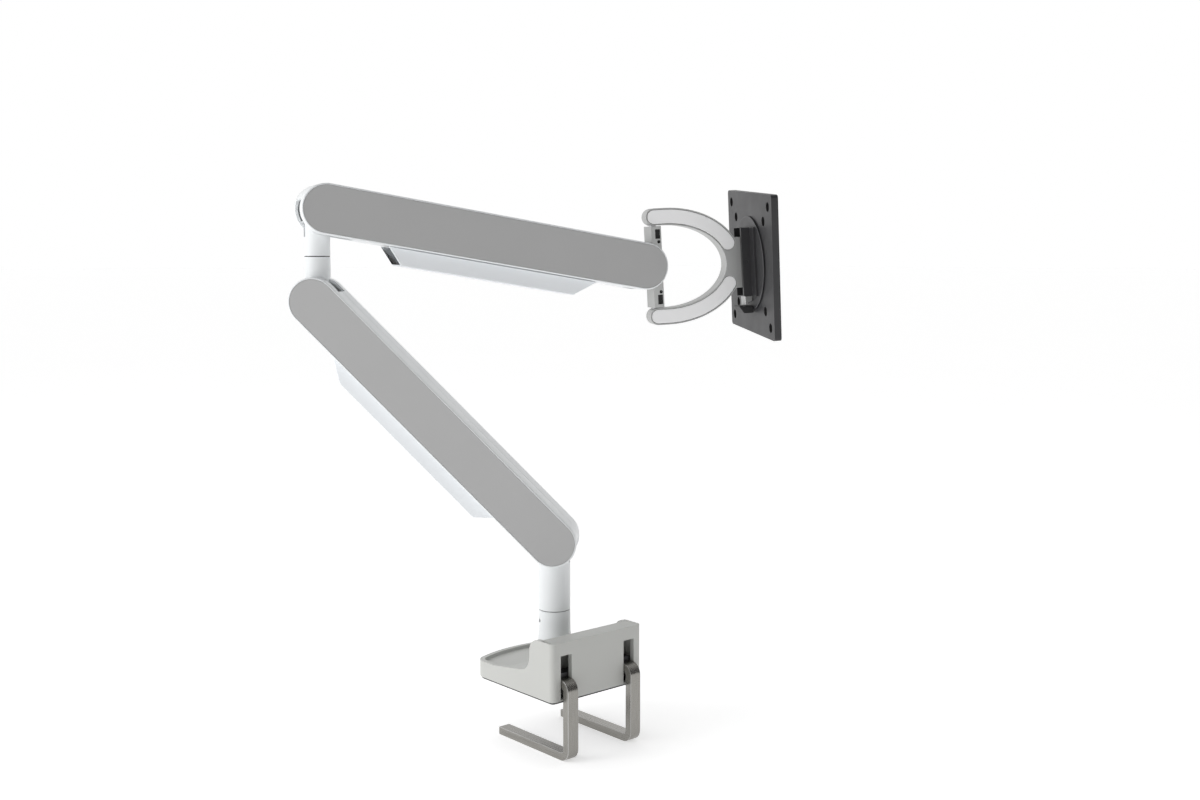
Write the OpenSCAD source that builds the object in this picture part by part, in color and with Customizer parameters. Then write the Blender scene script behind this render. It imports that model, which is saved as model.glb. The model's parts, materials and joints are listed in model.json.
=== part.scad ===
// Desk-clamped monitor arm: two spring-balanced parallelogram arms, a D-shaped
// pan yoke and a rotating VESA head.  Origin: swivel axis of the base post, on
// the desk face.  +Z is up, the base nose points to -Y and the hooks stand at +Y.

/* [Base] */
// Width of the base housing, across the hooks
base_w = 90; // [80:1:100]
// Height of the rear block of the base
base_h = 46; // [44:1:52]
// Distance from the post axis to the rear face
base_rear = 52; // [50:1:56]
// Distance from the post axis to the tip of the nose
nose_reach = 52; // [44:1:56]
// Thickness of the rubber desk pad
pad_t = 1.5; // [1:0.5:2]
// Distance between the two clamp hooks, centre to centre
hook_pitch = 63; // [58:1:66]
// Width of the flat bar of a hook
hook_w = 10; // [8:1:11]
// Thickness of the flat bar of a hook
hook_t = 6; // [4:0.5:7]
// Desk thickness that the hooks are set to
desk_gap = 38; // [26:1:46]
// Length of a hook bar under the desk, measured from the rear face of the hook
hook_reach = 85; // [70:1:95]

/* [Posts] */
// Radius of the base post
post_r = 12.5; // [11:0.5:12.5]
// Radius of the elbow post
elbow_r = 10; // [9:0.5:11]
// Height of the base swivel joint
base_seam = 56; // [54:1:60]
// Height of the lower arm's first pivot
pivot_z = 111.5; // [100:0.5:120]
// Height of the elbow swivel above the lower arm's second pivot
elbow_seam = 34.5; // [33:0.5:40]
// Distance between the two pivots of the elbow
elbow_gap = 70.5; // [70:0.5:80]
// Offset of the upper arm's first pivot from the elbow swivel
elbow_shift = 5; // [0:0.5:5]

/* [Arms] */
// Distance between the two pivots of the lower arm
lower_len = 260; // [240:1:280]
// Distance between the two pivots of the upper arm
upper_len = 267; // [240:1:280]
// Half of the height of the lower arm
lower_r = 18.6; // [18.5:0.1:20]
// Half of the height of the upper arm
upper_r = 19.4; // [18.5:0.1:20]
// Half of the width of both arms
arm_w = 20; // [20:0.5:22]
// Thickness of the grey side panels
panel_t = 1.3; // [1:0.1:1.5]
// Length of a cable cover along the arm
cover_len = 176; // [150:1:180]
// Depth of the cable cover below the lower arm
lower_cover_h = 12; // [10:1:14]
// Depth of the cable cover below the upper arm
upper_cover_h = 14; // [10:1:15]

/* [Stored pose] */
// Direction of the lower arm in plan
lower_yaw = -44; // [-180:1:180]
// Elevation of the lower arm
lower_tilt = 45.4; // [20:0.1:75]
// Direction of the upper arm in plan
upper_yaw = 160; // [-180:1:180]
// Elevation of the upper arm
upper_tilt = -9.5; // [-34:0.1:34]
// Direction of the yoke in plan
head_yaw = 150; // [140:1:180]
// Lean of the head bracket towards the elbow
head_lean = 3.2; // [0:0.1:4]
// Tilt of the screen plate on the yoke
vesa_tilt = 0.8; // [-5:0.1:5]
// Turn of the screen plate on its turntable
vesa_spin = 4; // [-10:1:10]

/* [Head] */
// Distance from the upper arm's second pivot to the pan axis
pan_offset = 15; // [15:1:18]
// Distance of the yoke's middle below the upper arm's second pivot
head_drop = 1.6; // [0:0.1:3]
// Half of the height of the yoke, to the middle of its arms
yoke_h = 41.8; // [40:0.1:44]
// Distance from the pan axis to the middle of the yoke's web
yoke_reach = 68.5; // [62:0.5:72]
// Thickness of the yoke across its faces
yoke_t = 16; // [14:1:18]
// Distance from the pan axis to the tilt axis
tilt_reach = 77.6; // [77:0.1:78]
// Distance from the pan axis to the back face of the screen plate
vesa_reach = 85; // [85:1:90]
// Distance of the screen plate's middle below the tilt axis
disc_drop = 1.5; // [0:0.5:3]
// Side of the square screen plate
vesa_side = 120; // [116:1:124]
// Thickness of the screen plate
vesa_t = 6; // [5:0.5:7]

/* [Hidden] */
$fn = 64;

// fits and walls
fit = 0.05;            // radial clearance of a running fit
seat = 0.02;           // radial clearance of a pin that is pressed in
gap = 0.4;             // clearance between neighbouring moving parts
eps = 0.1;             // overshoot of a cut
shell_wall = 2.2;      // perimeter wall of an arm shell
rim = 1.2;             // white rim around a side panel
panel_depth = 1.5;     // depth of the panel's recess
side_wall = 4;         // side wall of a shell, recess included
edge = 1;              // rounding of a shell's outer edge

// lug and pins at the arm pivots
lug_w = 9;             // half width of a lug
lug_slot = 3.3;        // half width of the slot between a lug's cheeks
lug_clear = 1;         // clearance between a lug and the perimeter wall
pin_r = 4;             // main pivot pins
link_pin_r = 2.5;      // pins of the parallel links
open_pin_r = 2.15;     // the same at the end where the link has play
fork_pin_r = 2.2;      // pins that push the piston rods
crank = 9.5;           // distance of the link and spring pins from the main pivot
boss_r = 7;            // bosses for the main pins
post_top = 9;          // distance from a pivot to the full round section of its post
eye_r = 4.5;           // end eyes of a parallel link
link_half = 3;         // half of a link's height
link_w = 2.8;          // half of a link's width

// gas springs
cyl_r = 6.3;
cyl_wall = 1.2;
rod_r = 3;
rod_z = -9;            // height of the spring's axis in the arm
cyl_start = 34;
cyl_len = 104;
fork_x = 2.9;          // half of the inner width of the rod's fork
fork_t = 3;

// travel of the two arms, as elevations
lower_range = [20, 80];
upper_range = [-35, 35];

// base
corner_r = 4;
nose_corner = 12;
block_front = 24.5;    // front of the rear block
shoulder_r = 10;
scoop_r = 12;
nose_h = 14.5;
scoop_h = 19;
dish_wall = 4;
dish_depth = 2.5;
slot_top = 36;
slot_bottom = 3;
cavity_front = 37;
rear_wall = 4;
roof = 4;
hook_z = 15;           // height of a hook's bar where it leaves the housing
bend_r = 6;
screw_r = 3;
screw_y = 42.5;
spindle_r = 9;
collar_foot = 17;
elbow_spindle_r = 6;
spindle_len = 12;
set_screw_r = 1.6;
set_screw_z = 47.5;
set_screw_turn = -20;  // direction of the collar's set screw, in plan

// head
bar_w = 4.5;           // half width of the head bracket's column
bar_t = 7.8;           // half depth of the column
bar_h = 34.2;
pan_r = 3;
arm_half = 7.2;        // half of the height of the yoke's arms
inlay_half = 5.8;
inlay_t = 1.2;
ellipse_x = 10;        // where the yoke's straight arms turn into the curve
web_h = 21.5;
web_edge = 76;
tilt_pin_r = 2.2;
knuckle_r = 3.9;
knuckle_w = 7.6;
ear_x = 74.4;           // front edge of the tilt bracket's ears
ear_in = 8.4;
ear_t = 3;
ear_h = 29;
bracket_t = 1.6;
disc_t = 1.2;
bracket_x = vesa_reach - gap - disc_t - bracket_t;
disc_r = 40;
hub_r = 8;
vesa_hole_r = 2.25;
vesa_sink_r = 4;       // counterbores on the rear face of the screen plate
vesa_sink = 2.4;

lower_mid = (lower_range[0] + lower_range[1]) / 2;
upper_mid = (upper_range[0] + upper_range[1]) / 2;
p2 = [lower_len * cos(lower_tilt) * cos(lower_yaw),
      lower_len * cos(lower_tilt) * sin(lower_yaw),
      pivot_z + lower_len * sin(lower_tilt)];
p3 = p2 + [elbow_shift * cos(upper_yaw), elbow_shift * sin(upper_yaw), elbow_gap];
p4 = p3 + [upper_len * cos(upper_tilt) * cos(upper_yaw),
           upper_len * cos(upper_tilt) * sin(upper_yaw),
           upper_len * sin(upper_tilt)];

// ---------- shared outlines ----------

function arc(c, r, a0, a1, n = 12) =
    [for (i = [0:n]) let (a = a0 + (a1 - a0) * i / n) c + r * [cos(a), sin(a)]];
function mirrored(points) = [for (i = [len(points) - 1:-1:0]) [-points[i][0], points[i][1]]];
function unit(v) = v / norm(v);
function tangent(path, i) =
    unit(path[min(i + 1, len(path) - 1)] - path[max(i - 1, 0)]);
// one side of a strip of half width h that follows a path
function side_of(path, h) =
    [for (i = [0:len(path) - 1]) let (t = tangent(path, i)) path[i] + h * [-t[1], t[0]]];
function reversed(points) = [for (i = [len(points) - 1:-1:0]) points[i]];
function strip(path, h) = concat(side_of(path, h), reversed(side_of(path, -h)));

// a strip with half-round ends
function direction(v) = atan2(v[1], v[0]);
function end_cap(path, h) =
    let (last = len(path) - 1, a = direction(tangent(path, last)))
    arc(path[last], h, a + 90, a - 90, 12);
function capped(path, h) =
    concat(side_of(path, h), end_cap(path, h), reversed(side_of(path, -h)), end_cap(reversed(path), h));

module round_strip(path, h) { polygon(capped(path, h)); }

// extrudes an outline drawn in (x, z) across Y, from y0 to y1
module across(y0, y1) {
    translate([0, y1, 0]) rotate([90, 0, 0]) linear_extrude(y1 - y0) children();
}

module rod_y(r, y0, y1, x = 0, z = 0) {
    translate([x, y0, z]) rotate([-90, 0, 0]) cylinder(r = r, h = y1 - y0);
}

module stadium(len, r) {
    union() {
        translate([0, -r]) square([len, 2 * r]);
        circle(r);
        translate([len, 0]) circle(r);
    }
}

// ---------- placing ----------

module at_lower() {
    translate([0, 0, pivot_z]) rotate([0, 0, lower_yaw]) rotate([0, -lower_tilt, 0]) children();
}
module at_elbow() { translate(p2) rotate([0, 0, lower_yaw]) children(); }
module at_elbow_post() { translate(p3) rotate([0, 0, upper_yaw]) children(); }
module at_upper() {
    translate(p3) rotate([0, 0, upper_yaw]) rotate([0, -upper_tilt, 0]) children();
}
module at_bracket() {
    translate(p4) rotate([0, 0, upper_yaw]) rotate([0, -head_lean, 0]) children();
}
module at_yoke() {
    at_bracket() translate([pan_offset, 0, -head_drop]) rotate([0, 0, head_yaw - upper_yaw]) children();
}
module at_tilt() {
    at_yoke() translate([tilt_reach, 0, 0]) rotate([0, -vesa_tilt, 0])
        translate([-tilt_reach, 0, 0]) children();
}
module at_disc() { at_tilt() translate([0, 0, -disc_drop]) children(); }
module at_vesa() { at_disc() rotate([vesa_spin, 0, 0]) children(); }

// ---------- base ----------

function base_plan(inset = 0) =
    let (
        half = base_w / 2 - inset,
        rc = max(corner_r - inset, 1),
        rn = nose_corner - inset,
        cx = base_w / 2 - nose_corner,
        cy = -(nose_reach - 18),
        turn = 70,
        end = [cx, cy] + rn * [cos(-turn), sin(-turn)],
        sag = nose_reach - inset + end[1],
        bow = (end[0] * end[0] + sag * sag) / (2 * sag),
        bow_a = asin(end[0] / bow),
        right = concat(
            arc([half - rc, base_rear - inset - rc], rc, 90, 0, 6),
            arc([cx, cy], rn, 0, -turn, 8)),
        front = arc([0, bow - nose_reach + inset], bow, -90 + bow_a, -90 - bow_a, 12)
    ) concat(right, [for (i = [1:len(front) - 2]) front[i]], mirrored(right));

// side view of what is cut away in front of the rear block; shift moves it into the dish
function scoop(shift_y = 0, shift_z = 0) =
    let (s = [shift_y, -shift_z], far = [-nose_reach - 20, 0])
    [for (p = concat(
        [[block_front + shoulder_r, base_h + 30], [block_front + shoulder_r, base_h]],
        arc([block_front + shoulder_r, base_h - shoulder_r], shoulder_r, 90, 180, 8),
        arc([block_front - scoop_r, scoop_h + scoop_r], scoop_r, 0, -90, 10),
        [[-20, nose_h], [far[0], nose_h], [far[0], base_h + 30]])) p + s];

module along_x(x0, x1) {
    translate([x0, 0, 0]) rotate([90, 0, 90]) linear_extrude(x1 - x0) children();
}

module hook_slot(x) {
    w = hook_w + 0.6;
    translate([x - w / 2, base_rear - rear_wall - 1, slot_bottom])
        cube([w, rear_wall + 2, slot_top - slot_bottom]);
}

module base_housing() {
    half = base_w / 2;
    color([0.86, 0.86, 0.83]) difference() {
        translate([0, 0, pad_t]) linear_extrude(base_h - pad_t) polygon(base_plan());
        along_x(-half - 1, half + 1) polygon(scoop());
        intersection() {
            along_x(-half + dish_wall, half - dish_wall) polygon(scoop(dish_wall - 1, dish_depth));
            translate([0, 0, -1]) linear_extrude(base_h + 10) polygon(base_plan(dish_wall));
        }
        // cavity of the clamp carriage, open at the underside
        translate([-half + 4, cavity_front, 0])
            cube([base_w - 8, base_rear - rear_wall - cavity_front, base_h - roof]);
        for (side = [-1, 1]) hook_slot(side * hook_pitch / 2);
        // recess of the top cap, with the slit that frees it
        translate([-half + 3, cavity_front - 1, base_h - 2]) cube([base_w - 6, 13, 2 + eps]);
        translate([half - 3.5, cavity_front + 1, base_h - 2]) cube([2.2, 10, 2 + eps]);
        // pocket of the post collar
        translate([0, 0, 6]) cylinder(r = collar_foot + fit, h = base_h);
        translate([0, screw_y, base_h - roof - eps]) cylinder(r = screw_r + 0.4, h = roof);
    }
}

module base_cap() {
    half = base_w / 2;
    color([0.86, 0.86, 0.83])
        translate([-half + 3.1, cavity_front - 0.9, base_h - 1.9]) cube([base_w - 6.2, 12.8, 1.8]);
}

module desk_pad() {
    color([0.12, 0.12, 0.12]) linear_extrude(pad_t) polygon(base_plan(1.2));
}

module post_collar() {
    foot = 6;
    color([0.9, 0.91, 0.92]) difference() {
        rotate_extrude() polygon(concat(
            [[0, foot], [collar_foot, foot], [collar_foot, 15]],
            [for (i = [0:8]) let (t = i / 8)
                [post_r + (collar_foot - post_r) * pow(1 - t, 2.4), 16 + 30 * t]],
            [[post_r, base_seam - 0.5], [post_r - 0.3, base_seam - 0.2], [0, base_seam - 0.2]]));
        translate([0, 0, 18]) cylinder(r = spindle_r + fit, h = base_h);
        rotate([0, 0, set_screw_turn]) translate([spindle_r, 0, set_screw_z]) rotate([0, 90, 0])
            cylinder(r = set_screw_r + seat, h = 10);
    }
}

module collar_set_screw() {
    color([0.25, 0.25, 0.26]) rotate([0, 0, set_screw_turn])
        translate([spindle_r + 0.15, 0, set_screw_z]) rotate([0, 90, 0]) difference() {
            cylinder(r = set_screw_r, h = 2.6);
            translate([0, 0, 1.4]) cylinder(r = 0.8, h = 2, $fn = 6);
        }
}

module swivel_washer() {
    color([0.08, 0.08, 0.09]) translate([0, 0, base_seam - 0.2]) difference() {
        cylinder(r = post_r - 0.4, h = 0.5);
        translate([0, 0, -eps]) cylinder(r = spindle_r + 0.3, h = 1);
    }
}

module clamp_screw() {
    low = 4;
    top = base_h - roof - 0.5;
    color([0.55, 0.56, 0.58]) translate([0, screw_y, 0]) difference() {
        union() {
            translate([0, 0, low]) cylinder(r = screw_r, h = top - low);
            translate([0, 0, top - 3]) cylinder(r = 4.4, h = 3);
        }
        translate([0, 0, top - 2]) cylinder(r = 2, h = 3, $fn = 6);
    }
}

module clamp_carriage() {
    y0 = cavity_front + 1;
    color([0.5, 0.5, 0.52]) difference() {
        translate([-hook_pitch / 2 - 6, y0, hook_z - 6])
            cube([hook_pitch + 12, base_rear - rear_wall - 1 - y0, 12]);
        translate([0, screw_y, 0]) cylinder(r = screw_r + fit, h = base_h);
        for (side = [-1, 1]) rod_y(1.5 + seat, y0 - eps, base_rear, side * hook_pitch / 2, hook_z);
    }
}

function hook_path() =
    let (
        y_leg = base_rear + 2 + hook_t / 2,
        z_bar = -desk_gap - hook_t / 2,
        y_tip = base_rear + 2 + hook_t - hook_reach
    ) concat(
        [[base_rear - rear_wall - 1, hook_z]],
        arc([y_leg - bend_r, hook_z - bend_r], bend_r, 90, 0, 10),
        arc([y_leg - bend_r, z_bar + bend_r], bend_r, 0, -90, 10),
        [[y_tip, z_bar]]);

module hook(side) {
    color([0.62, 0.61, 0.58]) difference() {
        translate([side * hook_pitch / 2, 0, 0])
            along_x(-hook_w / 2, hook_w / 2) polygon(strip(hook_path(), hook_t / 2));
        rod_y(1.5 + seat, base_rear - 8, base_rear, side * hook_pitch / 2, hook_z);
    }
}
module hook_left() { hook(1); }
module hook_right() { hook(-1); }

module hook_screws() {
    y0 = cavity_front + 1;
    color([0.3, 0.3, 0.31]) for (side = [-1, 1])
        rod_y(1.5, y0 + 0.2, base_rear - 0.4, side * hook_pitch / 2, hook_z);
}

// ---------- posts and lugs ----------

// two cheeks around a pivot at the origin, on a round post that runs down to -reach; the
// post's axis lies at -shift
module lug(post, lug_r, reach, slot_depth, shift = 0) {
    difference() {
        union() {
            rod_y(lug_r, -lug_w, lug_w);
            translate([-post - shift, -lug_w, -post_top - 1]) cube([2 * post, 2 * lug_w, post_top + 1]);
            translate([-shift, 0, -reach]) cylinder(r = post, h = reach - post_top);
        }
        // the cube's corners are trimmed to the lug's circle
        difference() {
            translate([-30, -15, -post_top]) cube([60, 30, 50]);
            rod_y(lug_r, -16, 16);
        }
        translate([-30, -lug_slot, -slot_depth]) cube([60, 2 * lug_slot, 60]);
        rod_y(pin_r + fit, -15, 15);
    }
}

function crank_at(angle) = crank * [cos(angle), sin(angle)];
lower_up = crank_at(lower_mid + 90);
lower_down = crank_at(lower_mid - 90);
upper_up = crank_at(upper_mid + 90);
upper_down = crank_at(upper_mid - 90);

module cheek_pin(at, r) {
    rod_y(r, -lug_w + 0.5, lug_w - 0.5, at[0], at[1]);
}
module cheek_hole(at, r) {
    rod_y(r + seat, -lug_w - 1, lug_w + 1, at[0], at[1]);
}

module base_post() {
    color([0.9, 0.91, 0.92]) difference() {
        translate([0, 0, pivot_z]) rotate([0, 0, lower_yaw]) difference() {
            lug(post_r, lower_r - shell_wall - lug_clear, pivot_z - base_seam - 0.4, 18);
            cheek_hole(lower_up, link_pin_r);
            cheek_hole(lower_down, fork_pin_r);
        }
        translate([0, 0, base_seam]) cylinder(r = 4, h = 10);
    }
    color([0.9, 0.91, 0.92]) translate([0, 0, 18.5]) difference() {
        cylinder(r = spindle_r, h = base_seam - 18);
        translate([0, 0, -eps]) cylinder(r = 4, h = 60);
    }
}
module base_link_pin() {
    color([0.6, 0.6, 0.62]) translate([0, 0, pivot_z]) rotate([0, 0, lower_yaw])
        cheek_pin(lower_up, link_pin_r);
}
module base_spring_pin() {
    color([0.6, 0.6, 0.62]) translate([0, 0, pivot_z]) rotate([0, 0, lower_yaw])
        cheek_pin(lower_down, fork_pin_r);
}

module elbow_bracket() {
    color([0.9, 0.91, 0.92]) at_elbow() difference() {
        mirror([0, 0, 1])
            lug(elbow_r, lower_r - shell_wall - lug_clear, elbow_seam - 0.3, 17);
        cheek_hole(lower_up, open_pin_r);
        translate([0, 0, elbow_seam - spindle_len - 1]) cylinder(r = elbow_spindle_r + fit, h = 30);
    }
}
module elbow_link_pin() {
    color([0.6, 0.6, 0.62]) at_elbow() cheek_pin(lower_up, open_pin_r);
}
module elbow_washer() {
    color([0.05, 0.05, 0.05]) at_elbow() translate([0, 0, elbow_seam - 0.3]) difference() {
        cylinder(r = elbow_r - 0.3, h = 0.7);
        translate([0, 0, -eps]) cylinder(r = elbow_spindle_r + 0.3, h = 1);
    }
}

module elbow_post() {
    reach = elbow_gap - elbow_seam - 0.5;
    color([0.9, 0.91, 0.92]) at_elbow_post() difference() {
        union() {
            lug(elbow_r, upper_r - shell_wall - lug_clear, reach, 21, elbow_shift);
            translate([-elbow_shift, 0, -reach - spindle_len])
                cylinder(r = elbow_spindle_r, h = spindle_len + 1);
        }
        cheek_hole(upper_up, link_pin_r);
        cheek_hole(upper_down, fork_pin_r);
    }
}
module upper_link_pin() {
    color([0.6, 0.6, 0.62]) at_elbow_post() cheek_pin(upper_up, link_pin_r);
}
module upper_spring_pin() {
    color([0.6, 0.6, 0.62]) at_elbow_post() cheek_pin(upper_down, fork_pin_r);
}

// ---------- arms, drawn along +X from the first pivot ----------

// section of one half shell: distance from the arm's middle line, then distance from its mid plane
function shell_section(r) =
    let (top = arm_w, in = arm_w - side_wall)
    concat(
        [[0, top - panel_depth], [0, in], [r - shell_wall, in], [r - shell_wall, 0], [r - 0.3, 0], [r, 0.3]],
        arc([r - edge, top - edge], edge, 0, 90, 4),
        [[r - rim, top], [r - rim, top - panel_depth]]);
function whole_section(r) =
    let (s = shell_section(r)) concat(s, [for (p = reversed(s)) [-p[0], p[1]]]);

module shell_round(r, x, from) {
    translate([x, 0, 0]) rotate([-90, 0, 0]) rotate([0, 0, from])
        rotate_extrude(angle = 180) polygon(shell_section(r));
}

// keeps clear the way of a post of radius p that swings between two directions
module swing_cut(x, p, r, a0, a1, shift = 0) {
    from = a0 - asin((p + 1 + shift) / (r - shell_wall));
    to = a1 + asin((p + 1 - shift) / (r - shell_wall));
    across(-p - 0.6, p + 0.6) translate([x, 0]) polygon(concat(
        arc([0, 0], r + 22, from, to, 24),
        arc([0, 0], r - shell_wall - 0.6, to, from, 24)));
}

module half_shell(len, r, side) {
    mirror([0, side < 0 ? 1 : 0, 0]) difference() {
        union() {
            shell_round(r, 0, 90);
            shell_round(r, len, -90);
            rotate([90, 0, 90]) linear_extrude(len) section_outline(r);
            for (x = [0, len]) rod_y(boss_r, lug_w + gap, arm_w - side_wall + eps, x);
            rod_y(6, 4, arm_w - side_wall + eps, cyl_start + cyl_len + 12, rod_z);
        }
        for (x = [0, len]) rod_y(pin_r + seat, 0, arm_w - 3, x);
        rod_y(3 + seat, 0, arm_w - 3, cyl_start + cyl_len + 12, rod_z);
    }
}

// the half shell's section with its distance axis upright
module section_outline(r) {
    polygon([for (p = shell_section(r)) [p[1], p[0]]]);
    polygon([for (p = shell_section(r)) [p[1], -p[0]]]);
}

module panel(len, r, side) {
    outer = r - rim - 0.15;
    y0 = arm_w - panel_depth + 0.05;
    mirror([0, side < 0 ? 1 : 0, 0]) across(y0, y0 + panel_t) stadium(len, outer);
}

module main_pin(x) {
    rod_y(pin_r, -arm_w + 3.1, arm_w - 3.1, x);
}

module gas_cylinder() {
    end = cyl_start + cyl_len;
    translate([0, 0, rod_z]) difference() {
        union() {
            translate([cyl_start, 0, 0]) rotate([0, 90, 0]) cylinder(r = cyl_r, h = cyl_len);
            translate([end - 1, -3.6, -5]) cube([13, 7.2, 10]);
            rod_y(5, -3.6, 3.6, end + 12);
        }
        translate([cyl_start + 4, 0, 0]) rotate([0, 90, 0])
            cylinder(r = cyl_r - cyl_wall, h = cyl_len - 8);
        translate([cyl_start - 1, 0, 0]) rotate([0, 90, 0]) cylinder(r = rod_r + fit, h = 8);
        rod_y(3 + fit, -10, 10, end + 12);
    }
}

module cylinder_pin() {
    rod_y(3, -arm_w + 3.1, arm_w - 3.1, cyl_start + cyl_len + 12, rod_z);
}

// rod, piston and the fork that the lug's pin pushes; x is the pin's place
module piston_rod(x) {
    top = -pin_r - 0.7;
    low = rod_z - 4.6;
    piston = 8;
    out = fork_x + fork_t;
    difference() {
        union() {
            translate([x - out, -2.8, low]) cube([2 * out, 5.6, top - low]);
            translate([x + fork_x + 0.5, 0, rod_z]) rotate([0, 90, 0])
                cylinder(r = rod_r, h = cyl_start + 46 - x);
            translate([cyl_start + 40, 0, rod_z]) rotate([0, 90, 0])
                cylinder(r = cyl_r - cyl_wall - fit, h = piston);
        }
        translate([x - fork_x, -5, low + 1.3]) cube([2 * fork_x, 10, top - low]);
    }
}

// parallel link between the pins at a and a + [len, 0]; the second eye has room to open the loop
module link(len, a) {
    difference() {
        union() {
            for (x = [0, len]) rod_y(eye_r, -link_w, link_w, a[0] + x, a[1]);
            translate([a[0], -link_w, a[1] - link_half]) cube([len, 2 * link_w, 2 * link_half]);
        }
        rod_y(link_pin_r + fit, -9, 9, a[0], a[1]);
        rod_y(link_pin_r + fit, -9, 9, a[0] + len, a[1]);
    }
}

// clip-on channel under an arm, with slanted open ends
module cable_cover(len, r, depth, ahead) {
    half = 15;
    wall = 1.6;
    start = (len - cover_len) / 2 + ahead;
    low = -r - depth;
    front = 12;
    back = 19;
    difference() {
        across(-half, half) polygon([
            [start, -r - 0.35], [start + front, low], [start + cover_len - back, low],
            [start + cover_len, -r - 0.35]]);
        across(-half + wall, half - wall) polygon([
            [start - 30, -r + 1], [start - 30, low + wall], [start + cover_len - back - 1, low + wall],
            [start + cover_len - 3, -r + 1]]);
    }
}

module lower_shell(side) {
    difference() {
        half_shell(lower_len, lower_r, side);
        swing_cut(0, post_r, lower_r, -90 - lower_range[1], -90 - lower_range[0]);
        swing_cut(lower_len, elbow_r, lower_r, 90 - lower_range[1], 90 - lower_range[0]);
    }
}
module lower_shell_left() { color([0.9, 0.91, 0.92]) at_lower() lower_shell(1); }
module lower_shell_right() { color([0.9, 0.91, 0.92]) at_lower() lower_shell(-1); }
module lower_panel_left() { color([0.6, 0.6, 0.6]) at_lower() panel(lower_len, lower_r, 1); }
module lower_panel_right() { color([0.6, 0.6, 0.6]) at_lower() panel(lower_len, lower_r, -1); }
module lower_base_pivot() { color([0.6, 0.6, 0.62]) at_lower() main_pin(0); }
module lower_elbow_pivot() { color([0.6, 0.6, 0.62]) at_lower() main_pin(lower_len); }
module lower_gas_cylinder() { color([0.15, 0.15, 0.16]) at_lower() gas_cylinder(); }
module lower_cylinder_pin() { color([0.6, 0.6, 0.62]) at_lower() cylinder_pin(); }
module lower_piston_rod() {
    color([0.7, 0.7, 0.72]) at_lower() piston_rod(crank * cos(lower_mid - 90 - lower_tilt));
}
module lower_link() {
    color([0.5, 0.5, 0.52]) at_lower() link(lower_len, crank_at(lower_mid + 90 - lower_tilt));
}
module lower_cable_cover() {
    color([0.92, 0.93, 0.94]) at_lower() cable_cover(lower_len, lower_r, lower_cover_h, 3);
}

module upper_shell(side) {
    difference() {
        half_shell(upper_len, upper_r, side);
        swing_cut(0, elbow_r, upper_r, -90 - upper_range[1], -90 - upper_range[0], elbow_shift);
        // fork for the head bracket
        translate([upper_len - 9, -bar_t - 0.6, -upper_r - 1])
            cube([40, 2 * bar_t + 1.2, 2 * upper_r + 2]);
    }
}
module upper_shell_left() { color([0.9, 0.91, 0.92]) at_upper() upper_shell(1); }
module upper_shell_right() { color([0.9, 0.91, 0.92]) at_upper() upper_shell(-1); }
module upper_panel_left() { color([0.6, 0.6, 0.6]) at_upper() panel(upper_len, upper_r, 1); }
module upper_panel_right() { color([0.6, 0.6, 0.6]) at_upper() panel(upper_len, upper_r, -1); }
module upper_elbow_pivot() { color([0.6, 0.6, 0.62]) at_upper() main_pin(0); }
module upper_head_pivot() { color([0.6, 0.6, 0.62]) at_upper() main_pin(upper_len); }
module upper_gas_cylinder() { color([0.15, 0.15, 0.16]) at_upper() gas_cylinder(); }
module upper_cylinder_pin() { color([0.6, 0.6, 0.62]) at_upper() cylinder_pin(); }
module upper_piston_rod() {
    color([0.7, 0.7, 0.72]) at_upper() piston_rod(crank * cos(upper_mid - 90 - upper_tilt));
}
module upper_link() {
    color([0.5, 0.5, 0.52]) at_upper() link(upper_len, crank_at(upper_mid + 90 - upper_tilt));
}
module upper_cable_cover() {
    color([0.92, 0.93, 0.94]) at_upper() cable_cover(upper_len, upper_r, upper_cover_h, 6);
}

// ---------- head ----------

// link pin of the head bracket, in the leaning bracket's own frame
head_up = crank_at(upper_mid + 90 - head_lean);

module head_bracket() {
    lug_r = upper_r - shell_wall - lug_clear;
    color([0.55, 0.56, 0.57]) at_bracket() difference() {
        union() {
            intersection() {
                rod_y(lug_r, -bar_t, bar_t);
                translate([-20, -bar_t, -20]) cube([20 + pan_offset, 2 * bar_t, 40]);
            }
            translate([pan_offset - bar_w, -bar_t, -bar_h - head_drop])
                cube([2 * bar_w, 2 * bar_t, 2 * bar_h]);
        }
        translate([-30, -lug_slot, -20]) cube([30 + pan_offset - bar_w - 1, 2 * lug_slot, 40]);
        rod_y(pin_r + fit, -15, 15);
        cheek_hole(head_up, open_pin_r);
        translate([pan_offset, 0, -60]) cylinder(r = pan_r + fit, h = 120);
        // shallow pockets of the fixing screws, on both faces
        for (y = [-bar_t, bar_t], z = [-29, 26])
            translate([pan_offset + 1.2, y, z]) cube([4.4, 3, 8], center = true);
        for (y = [-bar_t, bar_t], z = [-22.5, 19.5]) rod_y(1.4, y - 2, y + 2, pan_offset + 2, z);
    }
}
module head_link_pin() {
    color([0.6, 0.6, 0.62]) at_bracket()
        rod_y(open_pin_r, -bar_t + 0.5, bar_t - 0.5, head_up[0], head_up[1]);
}
module pan_pin() {
    top = yoke_h + arm_half - 1;
    color([0.6, 0.6, 0.62]) at_yoke() translate([0, 0, -top]) cylinder(r = pan_r, h = 2 * top);
}

function yoke_curve(a0, a1, n) =
    [for (i = [0:n]) let (a = a0 + (a1 - a0) * i / n)
        [ellipse_x + (yoke_reach - ellipse_x) * cos(a), yoke_h * sin(a)]];
function yoke_path() = concat([[0, yoke_h]], yoke_curve(90, -90, 40), [[0, -yoke_h]]);
function inlay_path(side) = concat([[0, side * yoke_h]], yoke_curve(side * 90, side * 24, 16));

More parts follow.
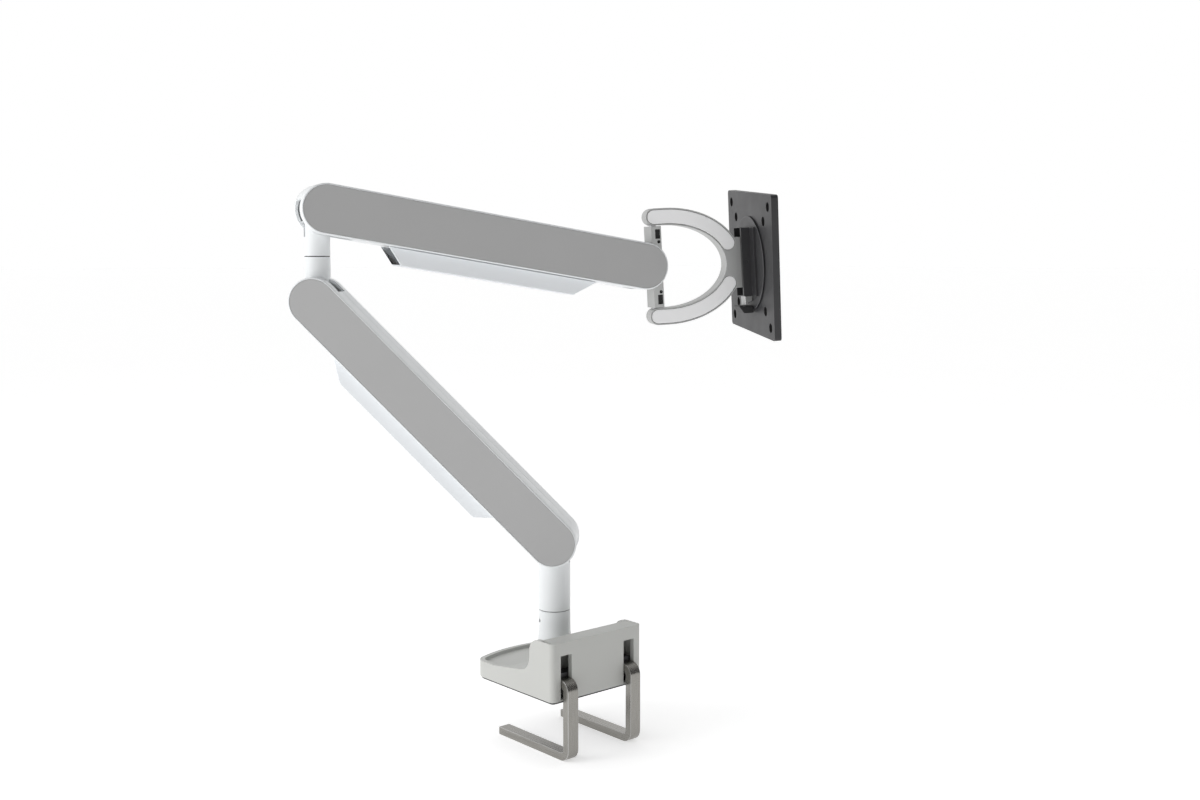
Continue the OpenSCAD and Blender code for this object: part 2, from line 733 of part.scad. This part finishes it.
module yoke_frame() {
    half = yoke_t / 2;
    color([0.6, 0.61, 0.61]) at_yoke() difference() {
        union() {
            difference() {
                across(-half, half) {
                    round_strip(yoke_path(), arm_half);
                    translate([yoke_reach - 4, -web_h]) square([web_edge - yoke_reach + 4, 2 * web_h]);
                }
                for (side = [-1, 1]) {
                    across(half - inlay_t, half + 1) round_strip(inlay_path(side), inlay_half + 0.3);
                    across(-half - 1, -half + inlay_t) round_strip(inlay_path(side), inlay_half + 0.3);
                }
            }
            // knuckle of the tilt hinge
            rod_y(knuckle_r, -knuckle_w, knuckle_w, tilt_reach);
            translate([yoke_reach, -knuckle_w, -knuckle_r])
                cube([tilt_reach - yoke_reach, 2 * knuckle_w, 2 * knuckle_r]);
        }
        translate([0, 0, -60]) cylinder(r = pan_r + seat, h = 120);
        rod_y(tilt_pin_r + fit, -20, 20, tilt_reach);
    }
}

module yoke_inlay(side, face) {
    half = yoke_t / 2;
    y0 = face > 0 ? half - inlay_t + 0.05 : -half + 0.1;
    color([0.88, 0.88, 0.88]) at_yoke()
        across(y0, y0 + inlay_t - 0.15) round_strip(inlay_path(side), inlay_half);
}
module yoke_inlay_upper_left() { yoke_inlay(1, 1); }
module yoke_inlay_upper_right() { yoke_inlay(1, -1); }
module yoke_inlay_lower_left() { yoke_inlay(-1, 1); }
module yoke_inlay_lower_right() { yoke_inlay(-1, -1); }

module tilt_pin() {
    color([0.6, 0.6, 0.62]) at_tilt() rod_y(tilt_pin_r, -ear_in - ear_t + 0.4, ear_in + ear_t - 0.4, tilt_reach);
}

module tilt_bracket() {
    color([0.12, 0.12, 0.13]) at_tilt() difference() {
        union() {
            translate([bracket_x, -22, -ear_h]) cube([bracket_t, 44, 2 * ear_h]);
            for (y = [-ear_in - ear_t, ear_in])
                translate([ear_x, y, -ear_h]) cube([bracket_x + 0.5 - ear_x, ear_t, 2 * ear_h]);
        }
        rod_y(tilt_pin_r + seat, -20, 20, tilt_reach);
        translate([bracket_x - 1, 0, -disc_drop]) rotate([0, 90, 0]) cylinder(r = 2.5, h = 10);
    }
}

module turntable() {
    color([0.2, 0.2, 0.21]) at_disc() translate([bracket_x + bracket_t, 0, 0]) rotate([0, 90, 0])
        difference() {
            union() {
                cylinder(r = disc_r, h = disc_t);
                cylinder(r = hub_r, h = disc_t + gap + vesa_t - 2);
            }
            translate([0, 0, -1]) cylinder(r = 2 + seat, h = 20);
        }
}

module turntable_screw() {
    top = disc_t + gap + vesa_t - 2;
    color([0.5, 0.5, 0.52]) at_disc() translate([bracket_x + bracket_t, 0, 0]) rotate([0, 90, 0]) {
        translate([0, 0, 0.2]) cylinder(r = 2, h = top);
        translate([0, 0, top + 0.1]) cylinder(r = hub_r + 2.5, h = 1.5);
    }
}

module latch_guide() {
    color([0.7, 0.7, 0.71]) at_tilt() across(-6, 6) polygon([
        [bracket_x + bracket_t - 0.1, -ear_h - 0.2], [bracket_x - 5, -ear_h - 0.2],
        [bracket_x - 5, -ear_h - 8], [bracket_x + bracket_t - 0.1, -ear_h - 4]]);
}

module latch_tab() {
    top = -ear_h - 8.8;
    color([0.05, 0.05, 0.05]) at_tilt() across(-8, 8) polygon([
        [bracket_x + bracket_t - 0.3, top], [bracket_x - 7, top], [bracket_x - 11, top + 1.5],
        [bracket_x - 11, top - 0.3], [bracket_x - 7, top - 6], [bracket_x + bracket_t - 0.3, top - 6]]);
}

module vesa_plate() {
    color([0.09, 0.09, 0.1]) at_vesa() translate([vesa_reach, 0, 0]) rotate([90, 0, 90]) difference() {
        linear_extrude(vesa_t) polygon([for (q = [0:3]) each arc(
            (vesa_side / 2 - 3) * [cos(45 + 90 * q), sin(45 + 90 * q)] * sqrt(2), 3, 90 * q, 90 * q + 90, 5)]);
        for (p = [75, 100], x = [-1, 1], y = [-1, 1])
            translate([x * p / 2, y * p / 2, 0]) {
                translate([0, 0, -1]) cylinder(r = vesa_hole_r, h = vesa_t + 2);
                translate([0, 0, -1]) cylinder(r = vesa_sink_r, h = 1 + vesa_sink);
            }
        translate([0, 0, -1]) cylinder(r = hub_r + fit, h = vesa_t + 2);
        // recess of the retaining screw
        translate([0, 0, vesa_t - 2.2]) cylinder(r = hub_r + 3, h = 3);
    }
}

// ---------- nodes ----------

base_housing();
base_cap();
desk_pad();
post_collar();
collar_set_screw();
swivel_washer();
clamp_screw();
clamp_carriage();
hook_left();
hook_right();
hook_screws();
base_post();
base_link_pin();
base_spring_pin();
lower_shell_left();
lower_shell_right();
lower_panel_left();
lower_panel_right();
lower_base_pivot();
lower_elbow_pivot();
lower_gas_cylinder();
lower_cylinder_pin();
lower_piston_rod();
lower_link();
lower_cable_cover();
elbow_bracket();
elbow_link_pin();
elbow_washer();
elbow_post();
upper_link_pin();
upper_spring_pin();
upper_shell_left();
upper_shell_right();
upper_panel_left();
upper_panel_right();
upper_elbow_pivot();
upper_head_pivot();
upper_gas_cylinder();
upper_cylinder_pin();
upper_piston_rod();
upper_link();
upper_cable_cover();
head_bracket();
head_link_pin();
pan_pin();
yoke_frame();
yoke_inlay_upper_left();
yoke_inlay_upper_right();
yoke_inlay_lower_left();
yoke_inlay_lower_right();
tilt_pin();
tilt_bracket();
turntable();
turntable_screw();
latch_guide();
latch_tab();
vesa_plate();
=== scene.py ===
"""Looks of the monitor arm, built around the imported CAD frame."""
import json
import math

import bmesh
import bpy
from mathutils import Matrix, Vector


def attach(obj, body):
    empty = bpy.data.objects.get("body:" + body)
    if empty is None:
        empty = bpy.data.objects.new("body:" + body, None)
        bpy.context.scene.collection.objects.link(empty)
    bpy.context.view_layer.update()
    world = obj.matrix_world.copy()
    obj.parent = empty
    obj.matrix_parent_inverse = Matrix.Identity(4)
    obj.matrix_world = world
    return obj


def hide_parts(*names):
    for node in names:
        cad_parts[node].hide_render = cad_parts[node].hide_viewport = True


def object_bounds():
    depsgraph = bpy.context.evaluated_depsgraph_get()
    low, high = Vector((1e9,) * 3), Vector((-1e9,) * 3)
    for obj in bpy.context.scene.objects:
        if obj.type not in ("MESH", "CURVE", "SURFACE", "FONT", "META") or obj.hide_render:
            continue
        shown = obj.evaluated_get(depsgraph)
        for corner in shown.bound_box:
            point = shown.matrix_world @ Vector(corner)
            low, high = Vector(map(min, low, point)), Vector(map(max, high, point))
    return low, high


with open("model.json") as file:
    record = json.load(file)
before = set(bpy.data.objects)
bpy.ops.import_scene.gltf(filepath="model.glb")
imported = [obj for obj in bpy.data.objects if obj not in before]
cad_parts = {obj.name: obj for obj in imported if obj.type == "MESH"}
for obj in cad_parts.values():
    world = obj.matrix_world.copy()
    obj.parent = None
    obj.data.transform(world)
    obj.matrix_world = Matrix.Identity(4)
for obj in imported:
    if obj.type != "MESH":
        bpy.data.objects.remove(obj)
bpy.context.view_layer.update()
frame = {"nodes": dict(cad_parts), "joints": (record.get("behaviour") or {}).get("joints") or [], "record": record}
NODES = frame["nodes"]
RECORD = frame["record"]
BODY_OF = {n: body for body, nodes in RECORD["behaviour"]["bodies"].items() for n in nodes}
SLOT_OF = {part["node"]: part["material_slot"] for part in RECORD["subparts"]}
JOINTS = {j["name"]: j for j in frame["joints"]}


# ---------- materials ----------

NOISE_LOW, NOISE_HIGH = 0.3, 0.7  # where most of a noise texture's values lie


def new_material(name):
    """A node material with only its Principled shader, with its node tree and that shader."""
    mat = bpy.data.materials.new(name)
    mat.use_nodes = True
    tree = mat.node_tree
    tree.nodes.clear()
    out = tree.nodes.new("ShaderNodeOutputMaterial")
    shader = tree.nodes.new("ShaderNodeBsdfPrincipled")
    tree.links.new(shader.outputs["BSDF"], out.inputs["Surface"])
    return mat, tree, shader


def noise(tree, scale, detail=2.0, stretch=(1, 1, 1)):
    """Noise over object coordinates; scale is in cycles per metre."""
    coords = tree.nodes.new("ShaderNodeTexCoord")
    mapping = tree.nodes.new("ShaderNodeMapping")
    mapping.inputs["Scale"].default_value = stretch
    tex = tree.nodes.new("ShaderNodeTexNoise")
    tex.inputs["Scale"].default_value = scale
    tex.inputs["Detail"].default_value = detail
    tree.links.new(coords.outputs["Object"], mapping.inputs["Vector"])
    tree.links.new(mapping.outputs["Vector"], tex.inputs["Vector"])
    return tex.outputs["Fac"]


def spread(tree, value, low, high, from_low=NOISE_LOW, from_high=NOISE_HIGH):
    """Maps a value, a noise value unless told otherwise, to a range."""
    node = tree.nodes.new("ShaderNodeMapRange")
    node.inputs["From Min"].default_value = from_low
    node.inputs["From Max"].default_value = from_high
    node.inputs["To Min"].default_value = low
    node.inputs["To Max"].default_value = high
    tree.links.new(value, node.inputs["Value"])
    return node.outputs["Result"]


def tone(tree, value, dark, light):
    """Blends two colours by a noise value."""
    ramp = tree.nodes.new("ShaderNodeValToRGB")
    ramp.color_ramp.elements[0].position = NOISE_LOW
    ramp.color_ramp.elements[1].position = NOISE_HIGH
    ramp.color_ramp.elements[0].color = (*dark, 1)
    ramp.color_ramp.elements[1].color = (*light, 1)
    tree.links.new(value, ramp.inputs["Fac"])
    return ramp.outputs["Color"]


def bump(tree, shader, value, depth):
    """Relief from a noise value; depth is in metres."""
    node = tree.nodes.new("ShaderNodeBump")
    node.inputs["Strength"].default_value = 1.0
    node.inputs["Distance"].default_value = depth
    tree.links.new(value, node.inputs["Height"])
    tree.links.new(node.outputs["Normal"], shader.inputs["Normal"])


def scaled(color, k):
    """A colour made lighter or darker by a factor."""
    return tuple(min(1.0, c * k) for c in color)


# coated surfaces: cycles per metre of the drift in tone and in gloss
TONE_SCALE = 16
GLOSS_SCALE = 45
GLOSS_VARY = 0.04         # roughness either way
COAT_ROUGHNESS = 0.2      # of the clear layer, where there is one

# brushed metal: cycles per metre along a stroke, and the strokes' depth in metres
STROKE_SCALE = 40
STROKE_DEPTH = 1.5e-5
STROKE_VARY = 0.12        # tone either way
STROKE_GLOSS_VARY = 0.07  # roughness either way

# the hooks' strokes
HOOK_SCALE = 60
HOOK_STRETCH = 60             # how much finer they are across the bar
HOOK_DEPTH = 2e-5
HOOK_BEND = (-0.037, -0.033)  # heights between which they turn the corner
HOOK_TONES = (0.25, 0.243, 0.225), (0.34, 0.33, 0.31)
HOOK_GLOSS = (0.2, 0.34)      # roughness in their dark and light parts


def coated(name, color, rough, grain=900.0, depth=2e-5, vary=0.02, metallic=0.0,
           coat=0.0, specular=0.5, grain_detail=2.0):
    """Painted, moulded or blasted surface: fine grain and a slow drift of tone and gloss."""
    mat, tree, shader = new_material(name)
    drift = noise(tree, TONE_SCALE, 3)
    tree.links.new(tone(tree, drift, scaled(color, 1 - vary), scaled(color, 1 + vary)),
                   shader.inputs["Base Color"])
    gloss = noise(tree, GLOSS_SCALE, 4)
    tree.links.new(spread(tree, gloss, rough - GLOSS_VARY, rough + GLOSS_VARY),
                   shader.inputs["Roughness"])
    shader.inputs["Metallic"].default_value = metallic
    shader.inputs["Specular IOR Level"].default_value = specular
    shader.inputs["Coat Weight"].default_value = coat
    shader.inputs["Coat Roughness"].default_value = COAT_ROUGHNESS
    bump(tree, shader, noise(tree, grain, grain_detail), depth)
    return mat


def brushed(name, color, rough, stretch):
    """Metal with fine strokes along the direction that stretch leaves long."""
    mat, tree, shader = new_material(name)
    strokes = noise(tree, STROKE_SCALE, 6, stretch)
    dark, light = scaled(color, 1 - STROKE_VARY), scaled(color, 1 + STROKE_VARY)
    tree.links.new(tone(tree, strokes, dark, light), shader.inputs["Base Color"])
    tree.links.new(spread(tree, strokes, rough - STROKE_GLOSS_VARY, rough + STROKE_GLOSS_VARY),
                   shader.inputs["Roughness"])
    shader.inputs["Metallic"].default_value = 1.0
    bump(tree, shader, strokes, STROKE_DEPTH)
    return mat


def hook_steel():
    """Strokes run along the bar: upright on the legs and along Y under the desk."""
    mat, tree, shader = new_material("hook_steel")
    legs = noise(tree, HOOK_SCALE, 6, (HOOK_STRETCH, HOOK_STRETCH, 1))
    bars = noise(tree, HOOK_SCALE, 6, (HOOK_STRETCH, 1, HOOK_STRETCH))
    coords = tree.nodes.new("ShaderNodeTexCoord")
    axes = tree.nodes.new("ShaderNodeSeparateXYZ")
    tree.links.new(coords.outputs["Object"], axes.inputs["Vector"])
    under = spread(tree, axes.outputs["Z"], 1, 0, *HOOK_BEND)
    mix = tree.nodes.new("ShaderNodeMix")
    tree.links.new(under, mix.inputs["Factor"])
    tree.links.new(legs, mix.inputs["A"])
    tree.links.new(bars, mix.inputs["B"])
    strokes = mix.outputs["Result"]
    tree.links.new(tone(tree, strokes, *HOOK_TONES), shader.inputs["Base Color"])
    tree.links.new(spread(tree, strokes, *HOOK_GLOSS), shader.inputs["Roughness"])
    shader.inputs["Metallic"].default_value = 1.0
    bump(tree, shader, strokes, HOOK_DEPTH)
    return mat


# coated: name, colour, roughness, grain in cycles per metre, its depth, drift in tone
MATERIALS = {
    "white_coat": coated("white_coat", (0.84, 0.86, 0.87), 0.36, 700, 1.5e-5, 0.012, coat=0.15),
    "base_shell": coated("base_shell", (0.56, 0.565, 0.542), 0.42, 850, 2.5e-5, 0.015),
    "grey_panel": coated("grey_panel", (0.45, 0.45, 0.45), 0.5, 1400, 1.2e-5, 0.01, specular=0.3),
    "cover_plastic": coated("cover_plastic", (0.84, 0.865, 0.89), 0.4, 1000, 2e-5, 0.012),
    # the desk pad's near-black rubber is real, and it also stands in for the shade on top of the hooks' feet:
    # painted shade
    "pad_rubber": coated("pad_rubber", (0.03, 0.03, 0.032), 0.85, 500, 8e-5, 0.2),
    "black_nylon": coated("black_nylon", (0.02, 0.02, 0.021), 0.5, 1200, 3e-5, 0.2),
    "hook_steel": hook_steel(),
    "pin_steel": brushed("pin_steel", (0.55, 0.55, 0.57), 0.3, (30, 1, 30)),
    "dark_steel": coated("dark_steel", (0.07, 0.07, 0.075), 0.4, 1500, 2e-5, 0.15, metallic=0.9),
    "carriage_iron": coated("carriage_iron", (0.1, 0.1, 0.105), 0.55, 600, 6e-5, 0.2, metallic=0.8),
    "satin_aluminium": coated("satin_aluminium", (0.46, 0.465, 0.46), 0.38, 2200, 2.5e-5, 0.03,
                              metallic=0.75, grain_detail=4.0),
    "light_inlay": coated("light_inlay", (0.93, 0.93, 0.935), 0.35, 900, 1e-5, 0.01),
    "link_alloy": brushed("link_alloy", (0.55, 0.55, 0.56), 0.4, (1, 12, 12)),
    "black_coat": coated("black_coat", (0.030, 0.030, 0.032), 0.42, 1500, 5e-5, 0.12,
                         specular=0.45),
    # painted highlight: a lighter, glossier black for the broken edges of black_coat
    "edge_highlight_black": coated("edge_highlight_black", (0.10, 0.10, 0.105), 0.34, 1500, 2e-5, 0.2, metallic=0.3),
    # painted shade: near-black for the floors and walls of recesses
    "recess_shade_black": coated("recess_shade_black", (0.012, 0.012, 0.012), 0.6, 900, 2e-5, 0.2),
    # painted highlight: light metal for the broken edges of satin aluminium and the hooks
    "edge_highlight_metal": coated("edge_highlight_metal", (0.62, 0.62, 0.615), 0.28, 2200, 1e-5, 0.05, metallic=0.85),
}
# a lighter finish on a slot's broken edges, where it differs from the faces: a painted highlight along the edges
EDGE_HIGHLIGHT_OF = {"black_coat": "edge_highlight_black", "satin_aluminium": "edge_highlight_metal",
           "hook_steel": "edge_highlight_metal"}


# ---------- pieces made from the CAD solids ----------

WELD = 2e-6                    # metres between corners that are one corner
FLAT = math.radians(0.6)       # faces within this angle are one face
SOFT_EDGE = math.radians(38)   # edges sharper than this are rounded
SHARP_EDGE = math.radians(32)  # and those sharper than this stay sharp in the shading
EDGE_SEGMENTS = 3


def clean_copy(node):
    """The node's mesh without its triangulation, so that edges can be rounded."""
    bm = bmesh.new()
    bm.from_mesh(NODES[node].data)
    bmesh.ops.remove_doubles(bm, verts=bm.verts, dist=WELD)
    bmesh.ops.dissolve_limit(bm, angle_limit=FLAT, verts=bm.verts, edges=bm.edges,
                             delimit={"NORMAL"})
    mesh = bpy.data.meshes.new(node)
    bm.to_mesh(mesh)
    bm.free()
    return mesh


def place(obj, body, slot, *replaced):
    """Puts a new piece on its body, in place of CAD nodes; slot is not used."""
    bpy.context.scene.collection.objects.link(obj)
    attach(obj, body)
    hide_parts(*replaced)


def smooth(obj):
    """Shades an object smoothly except at its sharp edges."""
    for poly in obj.data.polygons:
        poly.use_smooth = True
    obj.data.set_sharp_from_angle(angle=SHARP_EDGE)


def along(point, origin, axis):
    """Distance of a point from origin along an axis."""
    return (point - Vector(origin)).dot(Vector(axis))


GROOVE = (0.0064, 0.00785)  # metres from the yoke's middle, either way
SINK = (0.0004, 0.0027)     # metres in front of the screen plate's rear face
POCKET = (0.0055, 0.0074)   # metres from the column's middle, either way
POCKET_FROM = 0.016         # metres above or below the head's pin


def in_yoke_groove(point):
    """The recess around a yoke inlay, told by its depth below the yoke's face."""
    hinge = JOINTS["screen_tilt"]
    return GROOVE[0] < abs(along(point, hinge["pos_m"], hinge["axis"])) < GROOVE[1]


def in_plate_sink(point):
    """The counterbores on the rear face of the screen plate."""
    spin = JOINTS["screen_spin"]
    return SINK[0] < along(point, spin["pos_m"], spin["axis"]) < SINK[1]


def in_column_pocket(point):
    """The screw pockets in both faces of the head bracket's column."""
    hinge = JOINTS["head_level"]
    depth = abs(along(point, hinge["pos_m"], hinge["axis"]))
    beyond_pin = abs(point.z - hinge["pos_m"][2]) > POCKET_FROM
    return beyond_pin and POCKET[0] < depth < POCKET[1]


# faces painted near-black as shade in their recesses, by node
RECESS_SHADE = {"yoke_frame": in_yoke_groove, "vesa_plate": in_plate_sink,
          "head_bracket": in_column_pocket}


def rounded(node, width):
    """A copy of a CAD node with soft edges; the broken edges may carry a lighter finish, a painted highlight."""
    slot = SLOT_OF[node]
    obj = bpy.data.objects.new(node + "_shape", clean_copy(node))
    obj.data.materials.clear()
    obj.data.materials.append(MATERIALS[slot])
    mod = obj.modifiers.new("soft_edges", "BEVEL")
    mod.width = width
    mod.segments = EDGE_SEGMENTS
    mod.limit_method = "ANGLE"
    mod.angle_limit = SOFT_EDGE
    mod.use_clamp_overlap = True
    mod.harden_normals = True
    # broken edges get the lighter finish, a painted highlight
    if slot in EDGE_HIGHLIGHT_OF:
        obj.data.materials.append(MATERIALS[EDGE_HIGHLIGHT_OF[slot]])
        mod.material = 1
    # faces inside recesses are painted near-black, standing in for their shade
    if node in RECESS_SHADE:
        obj.data.materials.append(MATERIALS["recess_shade_black"])
        for poly in obj.data.polygons:
            if RECESS_SHADE[node](poly.center):
                poly.material_index = len(obj.data.materials) - 1
    smooth(obj)
    place(obj, BODY_OF[node], slot, node)


# width of the soft edges, in metres
ROUNDED = {
    "base_housing": 0.0007, "base_cap": 0.0004, "post_collar": 0.0003, "hook_left": 0.0007,
    "hook_right": 0.0007, "base_post": 0.0004, "elbow_bracket": 0.0004, "elbow_post": 0.0004,
    "lower_shell_left": 0.0003, "lower_shell_right": 0.0003, "upper_shell_left": 0.0003,
    "upper_shell_right": 0.0003, "lower_panel_left": 0.00025, "lower_panel_right": 0.00025,
    "upper_panel_left": 0.00025, "upper_panel_right": 0.00025, "lower_cable_cover": 0.0008,
    "upper_cable_cover": 0.0008, "head_bracket": 0.0005, "yoke_frame": 0.0006,
    "yoke_inlay_upper_left": 0.0003, "yoke_inlay_upper_right": 0.0003,
    "yoke_inlay_lower_left": 0.0003, "yoke_inlay_lower_right": 0.0003, "tilt_bracket": 0.0004,
    "turntable": 0.0003, "latch_guide": 0.0004, "latch_tab": 0.0006, "vesa_plate": 0.0006,
    "desk_pad": 0.0003, "clamp_carriage": 0.0005,
}
for node_name, edge_width in ROUNDED.items():
    rounded(node_name, edge_width)

# the other nodes keep their CAD shape; a finish here stands in for the slot's own
FINISH_OF = {"tilt_pin": "black_coat"}
for node_name, obj in NODES.items():
    if node_name not in ROUNDED:
        obj.data.materials.clear()
        obj.data.materials.append(MATERIALS[FINISH_OF.get(node_name, SLOT_OF[node_name])])


# ---------- studio ----------

PAPER = (0.90, 0.90, 0.90)
PAPER_GLOW = 0.5    # the floor is a light table
FLOOR_HALF = 40     # metres from the middle to an edge
FLOOR_GAP = 0.0003  # metres below the lowest point of the part


def matte(name, color):
    """Paper-like surface with hardly any sheen."""
    mat, tree, shader = new_material(name)
    tree.links.new(tone(tree, noise(tree, 2, 2), scaled(color, 0.995), scaled(color, 1.005)),
                   shader.inputs["Base Color"])
    shader.inputs["Roughness"].default_value = 0.9
    shader.inputs["Specular IOR Level"].default_value = 0.1
    return mat


floor_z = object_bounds()[0][2] - FLOOR_GAP
corners = [(-1, -1), (1, -1), (1, 1), (-1, 1)]
floor_mesh = bpy.data.meshes.new("floor")
floor_mesh.from_pydata([(FLOOR_HALF * x, FLOOR_HALF * y, floor_z) for x, y in corners],
                       [], [(0, 1, 2, 3)])
floor = bpy.data.objects.new("floor", floor_mesh)
floor.data.materials.append(matte("floor_paper", PAPER))
floor_shader = floor.data.materials[0].node_tree.nodes["Principled BSDF"]
floor_shader.inputs["Emission Color"].default_value = (1, 1, 1, 1)
floor_shader.inputs["Emission Strength"].default_value = PAPER_GLOW
bpy.context.scene.collection.objects.link(floor)

# strength of the world's glow, from and to these parts of a direction along Y and Z
SIDE_GLOW = dict(low=1.0, high=0.10, from_low=0.05, from_high=0.7)
TOP_GLOW = dict(low=1.0, high=0.6, from_low=0.25, from_high=0.8)

world = bpy.data.worlds.new("studio")
bpy.context.scene.world = world
world.use_nodes = True
# a soft box all round, dimmer overhead and dark behind the hooks' side
sky = world.node_tree
direction = sky.nodes.new("ShaderNodeTexCoord").outputs["Generated"]
parts = sky.nodes.new("ShaderNodeSeparateXYZ")
sky.links.new(direction, parts.inputs["Vector"])
glow = sky.nodes.new("ShaderNodeMath")
glow.operation = "MULTIPLY"
sky.links.new(spread(sky, parts.outputs["Y"], **SIDE_GLOW), glow.inputs[0])
sky.links.new(spread(sky, parts.outputs["Z"], **TOP_GLOW), glow.inputs[1])
sky.nodes["Background"].inputs["Color"].default_value = (1, 1, 1, 1)
# the camera itself sees a plain pale backdrop on every side
backdrop = sky.nodes.new("ShaderNodeMath")
backdrop.operation = "MAXIMUM"
sky.links.new(glow.outputs["Value"], backdrop.inputs[0])
sky.links.new(sky.nodes.new("ShaderNodeLightPath").outputs["Is Camera Ray"], backdrop.inputs[1])
sky.links.new(backdrop.outputs["Value"], sky.nodes["Background"].inputs["Strength"])


def area_light(name, where, target, size, power):
    """A rectangular soft light aimed at a point."""
    data = bpy.data.lights.new(name, "AREA")
    data.shape = "RECTANGLE"
    data.size, data.size_y = size
    data.energy = power
    light = bpy.data.objects.new(name, data)
    light.location = where
    light.rotation_euler = (Vector(target) - Vector(where)).to_track_quat("-Z", "Y").to_euler()
    bpy.context.scene.collection.objects.link(light)


MIDDLE = (-0.02, -0.03, 0.2)  # roughly the middle of the arm
area_light("key", (1.6, -0.5, 0.9), MIDDLE, (0.9, 1.2), 10)
area_light("fill", (-0.2, 1.6, 0.5), MIDDLE, (1.0, 0.8), 1.2)

# the camera stands where the photograph was taken from
CAMERA_AT = Vector((0.666, 0.812, 0.331))
LOOK = Vector((-0.6564, -0.7469, -0.1045))
ACROSS = Vector((-0.7513, 0.6600, 0.0))
LENS = 40.92
SENSOR = 36.0

forward = LOOK.normalized()
right = (ACROSS - forward * ACROSS.dot(forward)).normalized()
up = right.cross(forward)
camera = bpy.data.objects.new("camera", bpy.data.cameras.new("camera"))
camera.data.lens = LENS
camera.data.sensor_width = SENSOR
camera.data.clip_start = 0.01
turn = Matrix((right, up, -forward)).transposed().to_4x4()
camera.matrix_world = Matrix.Translation(CAMERA_AT) @ turn
bpy.context.scene.collection.objects.link(camera)
bpy.context.scene.camera = camera
bpy.context.scene.view_settings.view_transform = "Standard"
